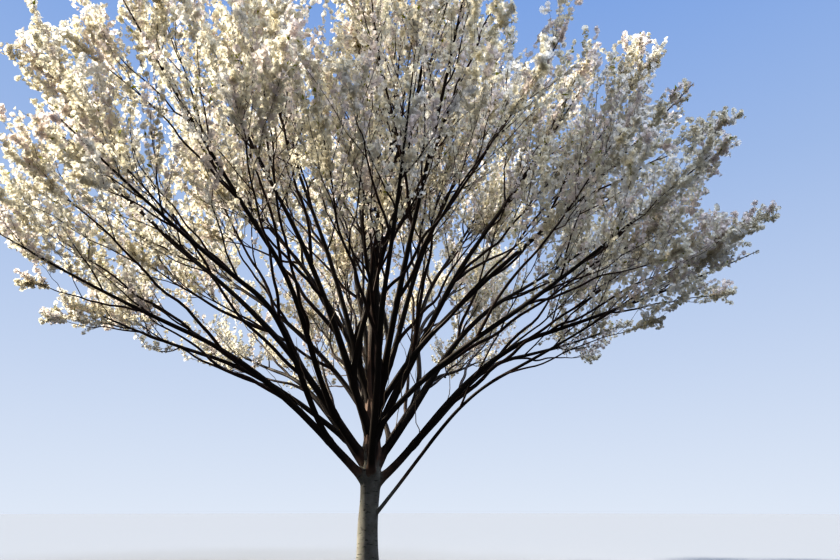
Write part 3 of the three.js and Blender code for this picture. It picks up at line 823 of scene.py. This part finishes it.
blossom = dict(
    onTwig=(0.10, 9), onPlume=(0.05, 24), onBranch=(0.45, 12), onSpur=(0.35, 3),  # bare share, flowers
    placeJitter=0.9,
    lean=(30, 95),  # how far a flower faces from its twig's line, in degrees
    turnJitter=0.3, size=0.049, sizeJitter=0.28,
    opening=56, openingJitter=14,  # the cone's half angle, in degrees
    petals=5, petalWidth=0.86,  # the share of the rim that the petals take
    roughness=0.6, specular=0.25, through=0.60,  # the share of light that passes through a petal
    tints=[  # dealt out by twig
        ("cream", "#F2EEE0"), ("white", "#F7F5F0"), ("ivory", "#EEE9D8"),
        ("blush", "#F2EAE6"), ("fawn", "#E2DCCC"),
    ],
    seed=77,
)
leaves = dict(
    leafyTwigs=0.22, share=0.28,  # some twigs are in leaf, with a leaf beside a share of their flowers
    length=0.078, width=0.036, fold=0.22, widestAt=0.45, sizes=(0.7, 1.25), aimJitter=0.6,
    colour="#A3A64A", roughness=0.45, specular=0.25, through=0.35, seed=83,
)


def placesAlong(lines, first, count, rng):
    # Even places from a share of each line to its tip, a little shifted, and the line's direction there.
    step = (1 - first) / count
    shift = step * rng.uniform(0, blossom["placeJitter"], (len(lines), count))
    place = first + step * (np.arange(count) + 1) - shift
    points, tangents, _ = along(lines, np.zeros(lines.shape[:2]), place)
    return points.reshape(-1, 3), tangents.reshape(-1, 3), np.repeat(np.arange(len(lines)), count)


def makeFlowers(hearts, aims, tints, rng):
    # A flower is a shallow cone with its point on the twig, cut into five petals that widen to the
    # rim. It faces out and onward from the twig, in any direction round it.
    petals = blossom["petals"]
    side = unit(np.cross(aims, [0.2, -0.4, 0.9]))  # any direction off the twig
    other = np.cross(aims, side)
    offTurn = rng.normal(0, blossom["turnJitter"], (len(hearts), 1))
    turn = goldenTurn * np.arange(len(hearts))[:, None] + offTurn
    lean = np.radians(rng.uniform(*blossom["lean"], (len(hearts), 1)))
    facing = np.cos(lean) * aims + np.sin(lean) * (np.cos(turn) * side + np.sin(turn) * other)
    size = blossom["size"] * (1 + rng.uniform(-1, 1, len(hearts)) * blossom["sizeJitter"])
    opening = np.radians(blossom["opening"] + rng.uniform(-1, 1, len(hearts)) * blossom["openingJitter"])
    wide = unit(np.cross(facing, [0.5, 0.3, 0.81]))  # and any off the way that it faces
    high = np.cross(facing, wide)
    half = np.pi / petals * blossom["petalWidth"]
    edges = (anglesRound(petals)[:, None] + [-half, half]).ravel()
    spin = rng.uniform(0, fullTurn, (len(hearts), 1)) + edges
    out, forward = (size * np.sin(opening))[:, None], (size * np.cos(opening))[:, None]
    rim = (hearts[:, None] + forward[..., None] * facing[:, None]
           + (out * np.cos(spin))[..., None] * wide[:, None]
           + (out * np.sin(spin))[..., None] * high[:, None])
    points = np.concatenate([hearts[:, None], rim], axis=1)
    edge = 1 + np.arange(petals) * 2
    fan = np.stack([np.zeros(petals, int), edge, edge + 1], axis=1)
    masses = sorted(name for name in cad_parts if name.startswith("blossom_"))
    for number, (tint, colour) in enumerate(blossom["tints"]):
        some = points[tints == number]
        faces = (np.arange(len(some))[:, None, None] * points.shape[1] + fan).reshape(-1, 3)
        material = thinSheetMaterial("cherry_petal_" + tint, colour, blossom)
        piece = makePiece("blossom_" + tint, some.reshape(-1, 3), [faces], material, "blossom")
        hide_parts(*masses[number::len(blossom["tints"])])


def makeLeaves(roots, aims, rng):
    # A leaf is a pointed blade folded along its midrib: four faces between root, tip and two edges.
    aim = unit(aims + rng.normal(0, leaves["aimJitter"], aims.shape))
    side = unit(np.cross(aim, rng.normal(0, 1, aims.shape)))
    up = np.cross(side, aim)
    size = rng.uniform(*leaves["sizes"], (len(roots), 1))
    length, width = leaves["length"] * size, leaves["width"] * size
    middle = roots + aim * length * leaves["widestAt"]
    left = middle + side * width / 2 + up * length * leaves["fold"]
    right = middle - side * width / 2 + up * length * leaves["fold"]
    points = np.stack([roots, left, roots + aim * length, right, middle], axis=1)
    fan = np.array([[0, 4, 1], [4, 2, 1], [0, 3, 4], [4, 3, 2]])
    faces = (np.arange(len(roots))[:, None, None] * points.shape[1] + fan).reshape(-1, 3)
    material = thinSheetMaterial("cherry_leaf_young_bronze", leaves["colour"], leaves)
    makePiece("young_leaves", points.reshape(-1, 3), [faces], material)


def makeBlossom(twigLines, branchLines, plumeLines, spurSet, plumeSpurSet):
    # Flowers stand all along twigs, spurs and plumes, and on the outer part of each branch. A spur's
    # flowers have the tint of the twig or plume that it grows on.
    rng = np.random.default_rng(blossom["seed"])
    kinds = len(blossom["tints"])
    twigTints = rng.integers(0, kinds, len(twigLines))
    plumeTints = rng.integers(0, kinds, len(plumeLines))
    branchTints = rng.integers(0, kinds, len(branchLines))
    rows = [
        (twigLines, "onTwig", twigTints),
        (plumeLines, "onPlume", plumeTints),
        (branchLines, "onBranch", branchTints),
        (spurSet[0], "onSpur", twigTints[spurSet[1]]),
        (plumeSpurSet[0], "onSpur", plumeTints[plumeSpurSet[1]]),
    ]
    hearts, aims, tints = [], [], []
    for lines, carrier, tint in rows:
        points, tangents, owner = placesAlong(lines, *blossom[carrier], rng)
        hearts.append(points)
        aims.append(tangents)
        tints.append(tint[owner])
    makeFlowers(np.concatenate(hearts), np.concatenate(aims), np.concatenate(tints), rng)
    leafRng = np.random.default_rng(leaves["seed"])
    flowersOnTwig = blossom["onTwig"][1]
    leafyTwig = np.repeat(leafRng.uniform(size=len(twigLines)) < leaves["leafyTwigs"], flowersOnTwig)
    leafy = leafyTwig & (leafRng.uniform(size=len(leafyTwig)) < leaves["share"])
    makeLeaves(hearts[0][leafy], aims[0][leafy], leafRng)


# Floor, light and camera

stage = dict(
    floorRadius=160, floorSides=96, floorDrop=0.002, floorColour="#94979C", floorShade="#4A4C50",
    skyFill=0.20, skySeen=0.78, exposure=0.0,
    sky=[(0.0, "#D8E0EC"), (0.45, "#A6BCE0"), (0.75, "#7FA3DC")],  # by the sine of the angle above level
    lights=[  # name, the way its light goes, colour, strength, degrees across
        ("sun", (0.84, -0.18, -0.51), "#FFF7E6", 7.2, 4),
        ("softbox", (-0.35, 0.30, -0.89), "#E6EFFF", 0.9, 25),
        ("rim", (-0.45, -0.35, -0.82), "#DFEAFF", 2.0, 25),
    ],
)
photoCamera = dict(place=(0.98, -13.0, 1.2), tilt=19.25, lens=28, sensor=36, farthest=500)


def makeFloor():
    # A wide flat disc just under the trunk's cut, seen pale but darker in the light that it throws up.
    angle = anglesRound(stage["floorSides"])
    rim = np.stack([np.cos(angle), np.sin(angle), 0 * angle], axis=1) * stage["floorRadius"]
    mesh = bpy.data.meshes.new("floor")
    mesh.from_pydata(rim.tolist(), [], [list(range(len(rim)))])
    floor = newObject("floor", mesh)
    floor.location.z = -stage["floorDrop"]
    material, shader = newMaterial("floor_plain_matt", 1.0, 0.0)
    ray = addNode(material, "LightPath")
    seen = addNode(material, "Mix", {
        "Factor": (ray, "Is Camera Ray"), "A": hexColour(stage["floorShade"]),
        "B": hexColour(stage["floorColour"])}, data_type="RGBA")
    link(material, (seen, "Result"), shader, "Base Color")
    mesh.materials.append(material)


def makeSky():
    # A clear sky that is paler near the horizon, and seen brighter than it lights the tree.
    world = bpy.data.worlds.new("sky")
    world.use_nodes = True
    background = world.node_tree.nodes["Background"]
    direction = addNode(world, "TexCoord")
    height = addNode(world, "SeparateXYZ", {"Vector": (direction, "Generated")})
    colour = addNode(world, "ValToRGB", {"Fac": (height, "Z")}, stops=stage["sky"])
    link(world, (colour, "Color"), background, "Color")
    ray = addNode(world, "LightPath")
    strength = addNode(world, "Math", {
        0: (ray, "Is Camera Ray"), 1: stage["skySeen"] - stage["skyFill"], 2: stage["skyFill"],
    }, operation="MULTIPLY_ADD")
    link(world, (strength, "Value"), background, "Strength")
    bpy.context.scene.world = world


def makeLights():
    # Far lights, so each is a direction, and its degrees across set how soft its shadows are.
    for name, aim, colour, strength, softness in stage["lights"]:
        light = bpy.data.lights.new(name, "SUN")
        light.energy = strength
        light.color = hexColour(colour)[:3]
        light.angle = math.radians(softness)
        lamp = newObject(name, light)
        lamp.rotation_euler = Vector(aim).to_track_quat("-Z", "Y").to_euler()
    view = bpy.context.scene.view_settings
    view.view_transform = "Standard"
    view.look = "High Contrast"
    view.exposure = stage["exposure"]


def makeCamera():
    # At eye height, tilted up as in the photo.
    camera = bpy.data.cameras.new("photo_camera")
    camera.lens = photoCamera["lens"]
    camera.sensor_width = photoCamera["sensor"]
    camera.clip_end = photoCamera["farthest"]
    seen = newObject("photo_camera", camera)
    seen.location = photoCamera["place"]
    seen.rotation_euler = (math.radians(90 + photoCamera["tilt"]), 0, 0)
    bpy.context.scene.camera = seen


makeCamera()
makeFloor()
makeSky()
makeLights()
print("camera, floor and light ready")
limbs = limbPaths()
makeTrunk(*limbs)
makeBoughs(*limbs)
makeCrown(limbs)
print("tree ready")
